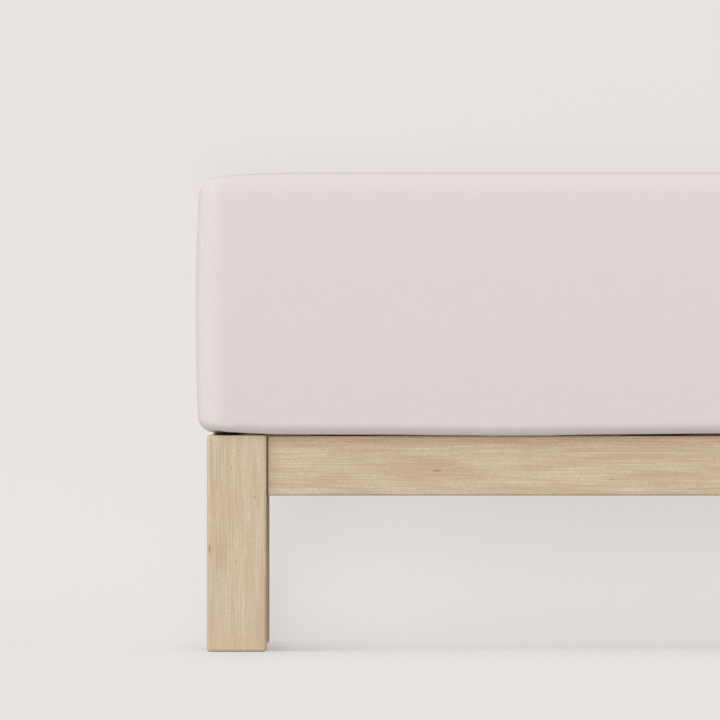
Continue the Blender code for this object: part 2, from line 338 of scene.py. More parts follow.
def makeEdgeGroup():
    # 1 on the edges of a board, 0 a little way in from them; the vector is counted from the board's middle
    group, given, result = newGroup("boardEdges", ["Vector", "Half Size"], {"Width": 0.003}, ["Edge"])
    size = addVectorMath(group, "ABSOLUTE", (-1000, 0), given["Vector"])
    room = addVectorMath(group, "SUBTRACT", (-820, 0), given["Half Size"], size)
    x, y, z = addSplit(group, (-640, 0), room)
    least = addMath(group, "MINIMUM", (-300, 160), addMath(group, "MINIMUM", (-460, 160), x, y), z)
    most = addMath(group, "MAXIMUM", (-300, -20), addMath(group, "MAXIMUM", (-460, -20), x, y), z)
    total = addMath(group, "ADD", (-300, -200), addMath(group, "ADD", (-460, -200), x, y), z)
    second = addMath(group, "SUBTRACT", (-20, 0), addMath(group, "SUBTRACT", (-140, 0), total, least), most)
    share = addMath(group, "DIVIDE", (140, 0), second, given["Width"])
    feed(group, result["Edge"], addRange(group, (320, 0), share, 0.0, 1.0, 1.0, 0.0))
    return group


grainGroup = makeGrainGroup(grainForm)
edgeGroup = makeEdgeGroup()

woodLooks = {
    "post": {
        "pale": (0.717, 0.637, 0.470),
        "line": (0.599, 0.474, 0.325),
        "pink": (0.654, 0.497, 0.323),
        "blush": 0.55,  # how strong the pink streaks are
        "roughness": 0.58,
    },
    "rail": {
        "pale": (0.696, 0.612, 0.440),
        "line": (0.584, 0.458, 0.308),
        "pink": (0.638, 0.481, 0.306),
        "blush": 0.8,
        "roughness": 0.58,
    },
    "slat": {
        "pale": (0.735, 0.652, 0.485),
        "line": (0.605, 0.490, 0.340),
        "pink": (0.675, 0.525, 0.350),
        "blush": 0.6,
        "roughness": 0.68,
    },
}
woodMarks = {
    "grooves": {"Rings": 0.35, "Lines": 0.75, "Speckle": 0.40},  # what the dark lines are made of
    "deeper": (0.85, 0.80, 0.76),  # the pink's tone in the dark lines, next to its own
    "heartPale": (0.7142, 0.5092, 0.3377),  # the redder band along a rail's top edge
    "heartLine": (0.533, 0.380, 0.252),
    "heartFull": 0.1,  # share of the band's depth that is wholly red
    "fleck": (0.200, 0.120, 0.070),
    "fleckShare": 0.60,
    "endGrain": (0.500, 0.390, 0.260),
    "endShare": 0.75,
    "endFacing": (0.6, 0.95),  # how squarely a face cuts the fibres, where it starts and is fully an end
    "edgeWidth": 0.0035,
    "rubbed": 0.05,  # share of a paler tone on the edges
    "rubbedGain": 1.12,  # that tone, next to the board's own
    "glossSpread": 0.08,
    "relief": (0.25, 0.0002),  # strength and depth of the grain
    "specular": 0.30,
    "pithSpread": 0.02,  # how far the tree's pith lies off its place, by chance
    "stretchSpread": 6.0,  # each board is another stretch of the tree
    # colour of the painted shade at the rails' joints and lower edges and at the legs' feet
    "shadeColour": (0.072, 0.022, 0.003),
    "foot": (0.600, 0.400, 0.270),
    # painted shade on a rail at its joints, darkest in the gap at its end, by the distance from that end
    "jointShade": ((0.0, 0.92), (0.0009, 0.85), (0.0015, 0.42), (0.0025, 0.22), (0.0045, 0.12),
                   (0.0085, 0.05), (0.0130, 0.0)),
    # painted shade along a rail's lower edge, which faces down, and how much browner a leg is above its
    # foot
    "lowerShade": ((0.0, 0.30), (0.0008, 0.22), (0.0020, 0.0)),
    "footShade": ((0.0, 0.35), (0.004, 0.30), (0.010, 0.27), (0.022, 0.20), (0.045, 0.0)),
    # painted shade down the side of a leg turned from the light, darker and browner, by the distance from
    # that side and by height
    "sideShade": ((0.0, 0.62), (0.0015, 0.60), (0.005, 0.44), (0.007, 0.18), (0.010, 0.0)),
    "sideFade": ((0.0, 1.0), (0.062, 1.0), (0.095, 0.55), (0.135, 0.20), (0.185, 0.0)),
    # painted contact shadow where a leg stands on the floor, on its lowest millimetre and its sole
    "contactShade": ((0.0, 0.90), (0.0005, 0.84), (0.0008, 0.05), (0.0012, 0.0)),
}

# How the fibres of each kind of board run, where the tree's pith lies from the board's middle, and where
# a small knot lies, if there is one. heart is the depth of a redder band along the top edge.
acrossBed = {"turn": (0, 0, -90), "axis": 1, "waver": 0.010}
alongBed = {"turn": (0, 0, 0), "axis": 0, "waver": 0.012}
upright = {"turn": (0, 90, 0), "axis": 2, "waver": 0.008}
boardKinds = {
    "leg_front_left": {
        **upright, "pith": (-0.30, 0.07, 0), "pitch": 0.0029, "look": "post",
        "knot": (-0.0275, -0.030, -0.0056), "push": 0.0015,
    },
    "leg": {**upright, "pith": (-0.30, 0.07, 0), "pitch": 0.0029, "look": "post"},
    "rail_front": {
        **alongBed, "pith": (0, 0.05, -0.26), "pitch": 0.0030, "look": "rail",
        "knot": (-0.760, -0.0125, -0.005), "push": 0.006, "heart": 0.011,
    },
    "rail_back": {
        **alongBed, "pith": (0, -0.04, 0.20), "pitch": 0.0030, "look": "rail",
        "knot": (0.310, 0.012, 0.010), "push": 0.005,
    },
    "rail_left": {**acrossBed, "pith": (0.06, 0, 0.22), "pitch": 0.0029, "look": "rail"},
    "rail_right": {**acrossBed, "pith": (-0.05, 0, -0.24), "pitch": 0.0031, "look": "rail"},
    "ledger": {**alongBed, "pith": (0, 0.09, 0.12), "pitch": 0.0026, "look": "slat"},
    "slat": {**acrossBed, "pith": (0.02, 0, -0.09), "pitch": 0.0030, "look": "slat"},
}


def addGrain(tree, kind, middle, half, place, chance):
    turn = Euler([math.radians(angle) for angle in kind["turn"]])
    turned = turn.to_matrix()
    spread = woodMarks["pithSpread"]
    pith = Vector(kind["pith"]) + Vector([chance.uniform(-spread, spread) for _ in range(3)])
    offset = -(turned @ (middle + pith))
    offset.x += chance.uniform(-woodMarks["stretchSpread"], woodMarks["stretchSpread"])
    given = {
        "Vector": addMapping(tree, (-1650, 200), place, offset, turn),
        "Ring Pitch": kind["pitch"],
        "Waver": kind["waver"],
    }
    if "knot" in kind:
        offset = -(turned @ (middle + Vector(kind["knot"])))
        given["From Knot"] = addMapping(tree, (-1650, -50), place, offset, turn)
        given["Knot Push"] = kind["push"]
    if "heart" in kind:
        topRadius = math.hypot(pith.y, half.z - pith.z)
        given["Heart From"] = topRadius - kind["heart"]
        given["Heart To"] = topRadius - woodMarks["heartFull"] * kind["heart"]
    return addGroup(tree, (-1400, 200), grainGroup, given)


def addWoodColour(tree, grain, look):
    grooves = 0.0
    for index, (name, share) in enumerate(woodMarks["grooves"].items()):
        grooves = addMath(tree, "MULTIPLY_ADD", (150 * index - 1150, 500), grain[name], share, grooves)
    colour = addMix(tree, (-700, 300), grooves, look["pale"], look["line"])
    blush = addMath(tree, "MULTIPLY", (-700, 60), grain["Streaks"], look["blush"])
    deeper = tuple(part * share for part, share in zip(look["pink"], woodMarks["deeper"]))
    pinker = addMix(tree, (-700, -120), grooves, look["pink"], deeper)
    colour = addMix(tree, (-500, 300), blush, colour, pinker)
    heart = addMix(tree, (-500, 60), grooves, woodMarks["heartPale"], woodMarks["heartLine"])
    colour = addMix(tree, (-300, 300), grain["Heart"], colour, heart)
    marks = addMath(tree, "MAXIMUM", (-350, -120), grain["Flecks"], grain["Knot"])
    marks = addMath(tree, "MULTIPLY", (-200, -120), marks, woodMarks["fleckShare"])
    return addMix(tree, (-100, 300), marks, colour, woodMarks["fleck"])


def addEndGrain(tree, colour, axis):
    # cut ends are darker
    normal = addNode(tree, "ShaderNodeTexCoord", (-1150, -500)).outputs["Normal"]
    facing = addMath(tree, "ABSOLUTE", (-780, -500), addSplit(tree, (-950, -500), normal)[axis])
    ends = addRange(tree, (-600, -500), facing, *woodMarks["endFacing"], 0.0, woodMarks["endShare"])
    return addMix(tree, (100, 300), ends, colour, woodMarks["endGrain"])


def addLegShade(tree, colour, apart, half):
    above = addMath(tree, "ADD", (-600, -950), apart["Z"], half.z)
    # painted shade down the leg's side turned from the light, fading with height
    toSide = addMath(tree, "SUBTRACT", (-600, -1200), half.x, apart["X"])
    side = addCurve(tree, (-240, -1200), toSide, woodMarks["sideShade"])
    fade = addCurve(tree, (-240, -1450), above, woodMarks["sideFade"])
    sideShading = addMath(tree, "MULTIPLY", (0, -1200), side, fade)
    foot = addCurve(tree, (-240, -950), above, woodMarks["footShade"])
    brownAndShade = addMath(tree, "MAXIMUM", (0, -950), foot, sideShading)
    colour = addMix(tree, (200, 300), brownAndShade, colour, woodMarks["foot"])
    # painted contact shadow at the foot
    contact = addCurve(tree, (-240, -700), above, woodMarks["contactShade"])
    return addMix(tree, (320, 300), contact, colour, woodMarks["shadeColour"])


def addRailShade(tree, colour, apart, half, axis):
    # painted shade at the rail's ends and along its lower edge
    above = addMath(tree, "ADD", (-600, -950), apart["Z"], half.z)
    away = addMath(tree, "ABSOLUTE", (-780, -700), apart[axis])
    toEnd = addMath(tree, "SUBTRACT", (-600, -700), half[axis], away)
    ends = addCurve(tree, (-240, -700), toEnd, woodMarks["jointShade"])
    lower = addCurve(tree, (-240, -950), above, woodMarks["lowerShade"])
    shade = addMath(tree, "MAXIMUM", (0, -800), ends, lower)
    return addMix(tree, (300, 300), shade, colour, woodMarks["shadeColour"])


def makeWood(nodeName, kind, chance):
    look = woodLooks[kind["look"]]
    low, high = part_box(nodeName)
    middle, half = (low + high) / 2, (high - low) / 2
    material, tree, shader = newMaterial(nodeName + "_wood", {"Specular IOR Level": woodMarks["specular"]})
    place = addNode(tree, "ShaderNodeTexCoord", (-1900, 0)).outputs["Object"]
    grain = addGrain(tree, kind, middle, half, place, chance)
    colour = addWoodColour(tree, grain, look)
    colour = addEndGrain(tree, colour, kind["axis"])
    centred = addMapping(tree, (-1650, -350), place, -middle)
    apart = addSplit(tree, (-950, -700), centred)
    if nodeName.startswith("leg"):
        colour = addLegShade(tree, colour, apart, half)
    if nodeName.startswith("rail"):
        colour = addRailShade(tree, colour, apart, half, kind["axis"])
    given = {"Vector": centred, "Half Size": half, "Width": woodMarks["edgeWidth"]}
    edge = addGroup(tree, (-1400, -350), edgeGroup, given)["Edge"]
    rubbed = addMath(tree, "MULTIPLY", (250, -250), edge, woodMarks["rubbed"])
    paler = tuple(min(1.0, woodMarks["rubbedGain"] * part) for part in look["pale"])
    feed(tree, shader.inputs["Base Color"], addMix(tree, (450, 300), rubbed, colour, paler))
    shader.location = (750, 300)
    tree.nodes["Material Output"].location = (1050, 300)

    spread = woodMarks["glossSpread"]
    smooth, rough = look["roughness"] - spread, look["roughness"] + spread
    gloss = addRange(tree, (450, 0), grain["Fibres"], *wholeNoise, smooth, rough)
    feed(tree, shader.inputs["Roughness"], gloss)
    feed(tree, shader.inputs["Normal"], addBump(tree, (450, -350), grain["Height"], *woodMarks["relief"]))
    return material


def finishFrame():
    chance = random.Random(14)
    for nodeName, obj in sorted(nodes.items()):
        kindName = next((name for name in boardKinds if nodeName.startswith(name)), None)
        if kindName is None:
            continue
        material = makeWood(nodeName, boardKinds[kindName], chance)
        if not obj.material_slots:
            obj.data.materials.append(material)
        for slot in obj.material_slots:
            slot.material = material


finishFrame()
print("wood finished")


# the outline and folds that the sheet and the mattress share
softForm = {
    "cornerRadius": 0.026,
    "leastCorner": 0.011,  # the corners of rows further in get no sharper than this
    "bulgeHeight": 0.340,  # where the sides stand out most
    "bulgeHalfSpan": 0.115,
    "bulgeDepth": 0.0033,
    "bulgePower": 2.2,
    "topRoundIn": 0.015,
    "topRoundUp": 0.0228,
    "shoulderRise": 0.0054,  # from the top edge to the middle of the top
    "frontRise": 0.70,  # share of that which the long sides' edges reach at once
    "shoulderReach": 0.028,
    "shoulderEnd": 0.070,  # how far in the rows round the form give way to a grid
    "shoulderSpread": 0.4,  # how fast the corners of those rows widen
    "lipIn": 0.0150,  # depth of the round lower edge
    "tuckWidth": 0.110,
    "tuckClosing": 0.0645,  # how far in the underside has come down to the seat
    "tuckOuter": 0.0195,  # the underside's outermost row, behind the round lower edge
    "tuckCorner": 0.150,
    "crowding": 0.7,  # closeness of the columns near the corners
}
sideTop = softForm["bulgeHeight"] + softForm["bulgeHalfSpan"]
shoulderStart = softForm["bulgeDepth"] + softForm["topRoundIn"]

# How far the lower edge is lifted off the seat: distance from the left end, front, back. Below 0, it comes
# down onto the rails, whose tops lie lower than the legs'.
edgeLifts = (
    (0.0000, 0.0032, 0.0030),
    (0.0180, 0.0046, 0.0026),
    (0.0225, 0.0040, 0.0014),
    (0.0350, 0.0028, 0.0002),
    (0.0550, 0.0016, 0.0000),
    (0.0780, 0.0007, -0.0006),
    (0.1900, 0.0005, -0.0008),
    (0.2560, -0.0002, -0.0008),
    (0.3060, -0.0006, -0.0008),
    (0.3500, -0.0004, -0.0008),
    (0.4000, 0.0006, -0.0008),
    (0.4500, 0.0010, -0.0008),
    (0.5170, 0.0017, -0.0008),
    (0.7600, 0.0003, -0.0008),
    (1.0100, 0.0000, -0.0008),
    (1.2700, 0.0012, -0.0008),
    (1.5200, 0.0000, -0.0008),
    (1.7600, 0.0009, -0.0008),
    (1.9280, 0.0007, -0.0006),
    (1.9510, 0.0016, 0.0000),
    (1.9880, 0.0040, 0.0026),
    (2.0060, 0.0032, 0.0030),
)
# at the ends, the underside comes down right behind the lower edge, past this stretch from the corner
endClosing = (0.015, 0.050)

# height of the round lower edge, by the distance from the bed's end
lipHeights = (
    (0.0000, 0.0160),
    (0.0076, 0.0120),
    (0.0170, 0.0085),
    (0.0280, 0.0080),
    (0.0480, 0.0115),
)

# soft rises and dips of the top: distances from the left end and the front, reach, rise
topSwells = (
    (0.210, 0.30, 0.10, 0.0008),
    (0.350, 0.62, 0.13, -0.0007),
    (0.530, 0.45, 0.12, 0.0009),
    (0.840, 0.28, 0.16, -0.0009),
    (1.050, 0.60, 0.18, 0.0007),
    (1.340, 0.38, 0.17, -0.0008),
    (1.560, 0.55, 0.15, 0.0008),
    (1.800, 0.33, 0.13, 0.0005),
)


def smoothStep(value, start, end):
    share = min(max((value - start) / (end - start), 0.0), 1.0)
    return share * share * (3 - 2 * share)


def blendOf(first, second, share):
    return first + (second - first) * share


def fromTable(table, place, column=1):
    # a value between a table's rows, eased from each to the next
    for near, far in zip(table, table[1:]):
        if place <= far[0]:
            return blendOf(near[column], far[column], smoothStep(place, near[0], far[0]))
    return table[-1][column]


def edgeLift(x, y):
    return fromTable(edgeLifts, x + halfLength, 1 if y < 0 else 2)


def topHeight(x, y):
    share = 1.0
    for edge, atOnce in ((halfLength - abs(x), 0.0), (halfWidth - abs(y), softForm["frontRise"])):
        fade = math.exp(-max(edge - shoulderStart, 0.0) / softForm["shoulderReach"])
        share *= 1 - (1 - atOnce) * fade
    swell = 0.0
    for fromLeft, fromFront, reach, rise in topSwells:
        distance = math.hypot(x + halfLength - fromLeft, y + halfWidth - fromFront)
        swell += rise * math.exp(-((distance / reach) ** 2))
    return sideTop + softForm["topRoundUp"] + (softForm["shoulderRise"] + swell) * share


def bulge(height):
    share = abs(height - softForm["bulgeHeight"]) / softForm["bulgeHalfSpan"]
    return softForm["bulgeDepth"] * share ** softForm["bulgePower"]


def cornerAt(inset, ease):
    return max(softForm["cornerRadius"] + ease - inset, softForm["leastCorner"])


def makeColumns(steps, pinch):
    # every column round the form: its corner, the angle there, and its share of the straight that follows
    columns = []
    for quarter in range(4):
        for step in range(steps["corner"] + 1):
            way = 2 * step / steps["corner"] - 1
            angle = math.pi / 4 * (2 * quarter - 1 + way * (1 - pinch) + pinch * way**3)
            columns.append((quarter, angle, None))
        count = steps["length"] if quarter % 2 else steps["end"]
        for step in range(1, count):
            share = step / count
            if quarter % 2:
                share -= softForm["crowding"] * math.sin(2 * math.pi * share) / (2 * math.pi)
            columns.append((quarter, math.pi / 2 * quarter, share))
    return columns


cornerSigns = ((1, -1), (1, 1), (-1, 1), (-1, -1))


def arcPoint(quarter, angle, inset, corner):
    signX, signY = cornerSigns[quarter % 4]
    return Vector((
        signX * (halfLength - inset - corner) + corner * math.cos(angle),
        signY * (halfWidth - inset - corner) + corner * math.sin(angle),
    ))


def ringPoint(column, inset, corner):
    quarter, angle, share = column
    start = arcPoint(quarter, angle, inset, corner)
    if share is None:
        return start
    return start.lerp(arcPoint(quarter + 1, angle, inset, corner), share)


def sideLine(place, crest, depth, ease, steps):
    # one column from its lower edge up to the top edge's height, as insets and heights
    lipIn = softForm["lipIn"] + ease
    lipUp = fromTable(lipHeights, halfLength - abs(place[0])) + ease
    lipTop = seatHeight + depth + edgeLift(*place) + lipUp
    top = sideTop - depth - ease
    topRise = crest - depth - top
    line = []
    for step in range(steps["lip"]):
        angle = math.pi / 2 * step / steps["lip"]
        inset = bulge(lipTop) + depth + lipIn * (1 - math.sin(angle))
        line.append((inset, lipTop - lipUp * math.cos(angle)))
    for step in range(steps["side"]):
        height = blendOf(lipTop, top, step / steps["side"])
        line.append((bulge(height) + depth, height))
    for step in range(steps["top"]):
        angle = math.pi / 2 * step / steps["top"]
        inset = bulge(top) + depth + (softForm["topRoundIn"] + ease) * (1 - math.cos(angle))
        line.append((inset, top + topRise * math.sin(angle)))
    return line


def tuckLine(place, depth, ease, steps):
    # the underside, from the tuck's inner border outwards: it rises to the lifted lower edge
    line = []
    width, closing = softForm["tuckWidth"], softForm["tuckClosing"]
    lift = edgeLift(*place) * (1 - smoothStep(halfWidth - abs(place[1]), *endClosing))
    for step in range(steps["tuck"] + 1):
        share = 1 - step / steps["tuck"]
        inset = blendOf(softForm["tuckOuter"] + depth + ease, width, share)
        rise = math.sqrt(max(0.0, (closing - inset) / (closing - softForm["lipIn"])))
        past = max(0.0, (inset - closing) / (width - closing))
        corner = blendOf(softForm["leastCorner"], softForm["tuckCorner"], past)
        line.append((inset, seatHeight + depth + lift * rise, corner))
    return line


def skinRows(columns, depth, ease, steps):
    # one list of points for each row round the form, and how far each lies down from the top edge
    rows = []
    downs = []
    for column in columns:
        place = ringPoint(column, 0.0, softForm["cornerRadius"])
        start = shoulderStart + depth + ease
        crest = topHeight(*ringPoint(column, start, cornerAt(start, ease)))
        line = tuckLine(place, depth, ease, steps)
        for inset, height in sideLine(place, crest, depth, ease, steps):
            line.append((inset, height, cornerAt(inset, ease)))
        points = []
        for inset, height, corner in line:
            inset += seamDent(column, height, corner)
            points.append((*ringPoint(column, inset, corner), height))
        for step in range(steps["shoulder"] + 1):
            inset = blendOf(start, softForm["shoulderEnd"], step / steps["shoulder"])
            corner = cornerAt(inset, ease) + softForm["shoulderSpread"] * (inset - start)
            x, y = ringPoint(column, inset, corner)
            dent = seamDent(column, sideTop + softForm["topRoundUp"], corner)
            dent *= max(0.0, 1 - (inset - start) / sheetLook["seamFade"])
            points.append((x, y, topHeight(x, y) - depth - dent))
        down = [0.0]
        for upper, lower in zip(points[::-1], points[-2::-1]):
            down.append(down[-1] + (Vector(upper) - Vector(lower)).length)
        rows.append(points)
        downs.append(down[::-1])
    return rows, downs


roundSteps = {"corner": 28, "end": 44, "length": 100, "tuck": 6}
sheetLook = {
    "thickness": 0.0010,
    "steps": {**roundSteps, "lip": 9, "side": 44, "top": 12, "shoulder": 8},
    "innerSteps": {**roundSteps, "lip": 5, "side": 8, "top": 6, "shoulder": 4},
    "pinch": 0.55,  # the corner's columns gather at its seam
    "seamDepth": 0.0004,
    "seamWidth": 0.0012,
    "seamFade": 0.030,
    "puckerDepth": 0.00025,
    "puckerPitch": 0.013,
    "puckerReach": 0.007,
    "puckerWander": (0.6, 41.0),  # how much the puckers' spacing varies, and how fast along the seam
    "puckerOffset": 1.2,  # between the two sides of a seam
    "colour": (0.763, 0.700, 0.681),
    "shade": (0.724, 0.662, 0.643),
    "streaks": 0.55,  # how strongly the threads show
    "thread": 0.0006,
    "relief": (0.20, 0.0001),  # strength and depth of the weave
    "roughness": (0.82, 0.94),
    "specular": 0.20,
    "flat": (1.64, 2.74),
    "area": 3.80,
}


def seamDent(column, height, corner):
    # the sewn line at the middle of each corner, with small puckers beside it
    quarter, angle, share = column
    if share is not None:
        return 0.0
    middle = math.pi / 4 * (2 * quarter - 1)
    away = abs(angle - middle) * corner
    dent = sheetLook["seamDepth"] * math.exp(-((away / sheetLook["seamWidth"]) ** 2))
    wander, rate = sheetLook["puckerWander"]
    turns = height / sheetLook["puckerPitch"] + wander * math.sin(rate * height + 2 * quarter)
    offset = sheetLook["puckerOffset"] if angle > middle else 0.0
    pucker = 0.5 + 0.5 * math.sin(2 * math.pi * turns + offset)
    return dent + sheetLook["puckerDepth"] * pucker * math.exp(-((away / sheetLook["puckerReach"]) ** 2))


def capFaces(points, border, steps, heightAt, facesUp, faces):
    # a grid inside a ring of points, whose corners are the middles of the ring's corners
    first = steps["corner"] // 2
    border = border[first:] + border[:first]
    along = steps["length"] + steps["corner"]
    across = steps["end"] + steps["corner"]
    right = border[: across + 1]
    back = border[across: across + along + 1][::-1]
    left = border[across + along: 2 * across + along + 1][::-1]
    front = border[2 * across + along:] + border[:1]
    grid = [[None] * (across + 1) for _ in range(along + 1)]
    for i in range(along + 1):
        grid[i][0], grid[i][across] = front[i], back[i]
    for j in range(across + 1):
        grid[0][j], grid[along][j] = left[j], right[j]
    flat = [Vector(point[:2]) for point in points]
    for i in range(1, along):
        for j in range(1, across):
            u, v = i / along, j / across
            sides = flat[front[i]].lerp(flat[back[i]], v) + flat[left[j]].lerp(flat[right[j]], u)
            low = flat[front[0]].lerp(flat[front[-1]], u)
            high = flat[back[0]].lerp(flat[back[-1]], u)
            place = sides - low.lerp(high, v)
            grid[i][j] = len(points)
            points.append((*place, heightAt(*place)))
    for i in range(along):
        for j in range(across):
            face = [grid[i][j], grid[i + 1][j], grid[i + 1][j + 1], grid[i][j + 1]]
            faces.append(face if facesUp else face[::-1])


def panelOf(column):
    # front 0, right end 1, back 2, left end 3: the corner seams part them
    quarter, angle, share = column
    seam = math.pi / 4 * (2 * quarter - 1)
    past = share is not None or angle >= seam - 1e-6
    return (quarter + 1) % 4 if past else quarter


def sideUv(column, panel, down):
    # cloth coordinates in metres, as if the sheet lay flat
    reach = (halfWidth, halfLength)[panel % 2] - shoulderStart + down
    place = ringPoint(column, 0.0, softForm["cornerRadius"])
    return ((place.x, -reach), (reach, place.y), (place.x, reach), (-reach, place.y))[panel]


def makeSkin(columns, depth, ease, steps, outward):
    rows, downs = skinRows(columns, depth, ease, steps)
    rowCount, columnCount = len(rows[0]), len(columns)
    points = [rows[column][row] for row in range(rowCount) for column in range(columnCount)]
    faces = []
    uvs = []
    flatRow = rowCount - steps["shoulder"] - 1
    for row in range(rowCount - 1):
        for column in range(columnCount):
            beside = (column + 1) % columnCount
            panel = panelOf(columns[column])
            corners = ((column, row), (beside, row), (beside, row + 1), (column, row + 1))
            face = [line * columnCount + spot for spot, line in corners]
            if row < flatRow:
                uv = [
                    sideUv(columns[spot], panel, downs[spot][line] - downs[spot][flatRow])
                    for spot, line in corners
                ]
            else:
                uv = [rows[spot][line][:2] for spot, line in corners]
            faces.append(face if outward else face[::-1])
            uvs.append(uv if outward else uv[::-1])
    border = list(range((rowCount - 1) * columnCount, rowCount * columnCount))
    before = len(faces)
    capFaces(points, border, steps, lambda x, y: topHeight(x, y) - depth, outward, faces)
    uvs += [[points[index][:2] for index in face] for face in faces[before:]]
    return points, faces, uvs


def makeObject(name, points, faces, uvs, material):
    mesh = bpy.data.meshes.new(name)
    mesh.from_pydata(points, [], faces)
    if uvs:
        layer = mesh.uv_layers.new(name="cloth")
        layer.data.foreach_set("uv", [part for face in uvs for uv in face for part in uv])
    mesh.validate()
    mesh.shade_smooth()
    mesh.materials.append(material)
    obj = bpy.data.objects.new(name, mesh)
    bpy.context.scene.collection.objects.link(obj)
    return obj


def dressCloth(tree, shader, place, look):
    given = {"Vector": place, "Thread": look["thread"]}
    weave = addGroup(tree, (-950, 0), weaveGroup, given)
    streaks = addRange(tree, (-650, 200), weave["Streaks"], *weaveForm["streakRange"], 0.0, look["streaks"])
    colour = addMix(tree, (-400, 200), streaks, look["colour"], look["shade"])
    feed(tree, shader.inputs["Base Color"], colour)
    feed(tree, shader.inputs["Normal"], addBump(tree, (-400, -300), weave["Height"], *look["relief"]))
    return weave


def makeSheetMaterial(look):
    material, tree, shader = newMaterial("sheet_cotton", {"Specular IOR Level": look["specular"]})
    place = addNode(tree, "ShaderNodeUVMap", (-1200, 0), uv_map="cloth").outputs["UV"]
    weave = dressCloth(tree, shader, place, look)
    roughness = addRange(tree, (-400, -50), weave["Blotches"], *wholeNoise, *look["roughness"])
    feed(tree, shader.inputs["Roughness"], roughness)
    return material


def buildSheet(look):
    columns = makeColumns(look["steps"], look["pinch"])
    points, faces, uvs = makeSkin(columns, 0.0, 0.0, look["steps"], True)
    depth, innerSteps = look["thickness"], look["innerSteps"]
    innerPoints, innerFaces, innerUvs = makeSkin(columns, depth, 0.0, innerSteps, False)
    shift = len(points)
    # the border, from the outer skin's first row to the inner one's
    rim = []
    for column in range(len(columns)):
        beside = (column + 1) % len(columns)
        rim.append([column, shift + column, shift + beside, beside])
    points += innerPoints
    faces += [[index + shift for index in face] for face in innerFaces] + rim
    uvs += innerUvs + [[points[index][:2] for index in face] for face in rim]
    return makeObject("stretched_sheet", points, faces, uvs, makeSheetMaterial(look))


mattressLook = {
    "depth": 0.0019,  # inside the sheet's outer skin
    "ease": 0.0040,  # how much rounder than the sheet its edges are
    "steps": {
        "corner": 12, "end": 22, "length": 50, "tuck": 4, "lip": 5, "side": 10, "top": 6, "shoulder": 3,
    },
    "colour": (0.760, 0.745, 0.700),
    "shade": (0.660, 0.645, 0.600),
    "streaks": 0.50,
    "thread": 0.0012,
    "relief": (0.5, 0.0002),
    "surface": {"Roughness": 0.92, "Sheen Weight": 0.05},
}


def makeCoverMaterial(look):
    material, tree, shader = newMaterial("mattress_knit", look["surface"])
    place = addNode(tree, "ShaderNodeTexCoord", (-1200, 0)).outputs["Object"]
    dressCloth(tree, shader, place, look)
    return material


def buildMattress(look):
    columns = makeColumns(look["steps"], 0.0)
    points, faces, _ = makeSkin(columns, look["depth"], look["ease"], look["steps"], True)
    underside = seatHeight + look["depth"]
    capFaces(points, list(range(len(columns))), look["steps"], lambda x, y: underside, False, faces)
    return makeObject("mattress_block", points, faces, None, makeCoverMaterial(look))


mattress = buildMattress(mattressLook)
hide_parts("mattress")
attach(mattress, "root")
print("mattress made")

sheet = buildSheet(sheetLook)
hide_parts("fitted_sheet")
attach(sheet, "root")
print("sheet made")


# a pale floor, a backdrop close behind the bed, and soft light from the front, the left and above
studio = {
    "background": (0.8148, 0.7758, 0.7454),
    "floorColour": (0.970, 0.9236, 0.8873),
    "wallColour": (0.905, 0.8616, 0.8280),
    "glow": 0.83,  # share of the stage's tone that the lights don't change
    "bounceColour": (0.815, 0.820, 0.834),  # what the bed gets back from the floor
    "floorHalfSize": 110.0,
    "wallDistance": 0.35,  # behind the sheet
    "wallHalfLength": 12.0,
    "wallHeight": 3.0,
    "wallFoot": 0.25,  # radius of its curved foot
    "wallFootSteps": 24,
    "wallLift": 0.0004,  # how far its foot lies over the floor
    "skyStrength": 0.472,
    "keyStrength": 1.88,
    "keyAngle": 50.0,  # degrees across
    "keyFrom": (-0.410, -0.645, 0.645),
}

# painted shadow of the bed on the floor and backdrop: how much darker the stage is round the bed, by place
stageShade = {
    # at the ends of the bed, by the distance from its middle
    "end": ((0.80, 0.0), (0.8335, 0.033), (0.8655, 0.084), (0.8975, 0.154), (0.9135, 0.240),
            (0.9295, 0.360), (0.960, 0.360), (0.9915, 0.110), (1.0025, 0.070), (1.0265, 0.015),
            (1.045, 0.0)),
    # how much of that shows, from before the bed to behind it, and by height
    "endDepth": ((-1.20, 0.0), (-0.50, 0.10), (-0.45, 0.16), (-0.40, 0.60), (-0.25, 1.0), (-0.04, 1.0),
                 (0.32, 0.67), (0.80, 0.28), (0.81, 0.28), (0.83, 0.0)),
    "endHeight": ((0.0, 1.0), (0.16, 1.0), (0.25, 0.0)),
    # on the floor before the bed, and how much of that shows towards the bed's ends
    "front": ((-1.84, 0.0), (-1.57, 0.010), (-1.21, 0.025), (-0.85, 0.045), (-0.66, 0.057),
              (-0.47, 0.054), (-0.28, 0.022), (-0.10, 0.0)),
    "frontEnd": ((0.965, 1.0), (0.99, 0.80), (1.009, 0.45), (1.019, 0.15), (1.035, 0.0)),
    # on the backdrop, low behind the bed and just above it
    "low": ((0.04, 0.0), (0.06, 0.010), (0.083, 0.032), (0.104, 0.058), (0.125, 0.078), (0.146, 0.102),
            (0.20, 0.100), (0.25, 0.0)),
    "lowEnd": ((0.885, 1.0), (0.905, 0.75), (0.935, 0.0)),
    "above": ((0.36, 0.0), (0.48, 0.028), (0.50, 0.028), (0.51, 0.018), (0.535, 0.0)),
}


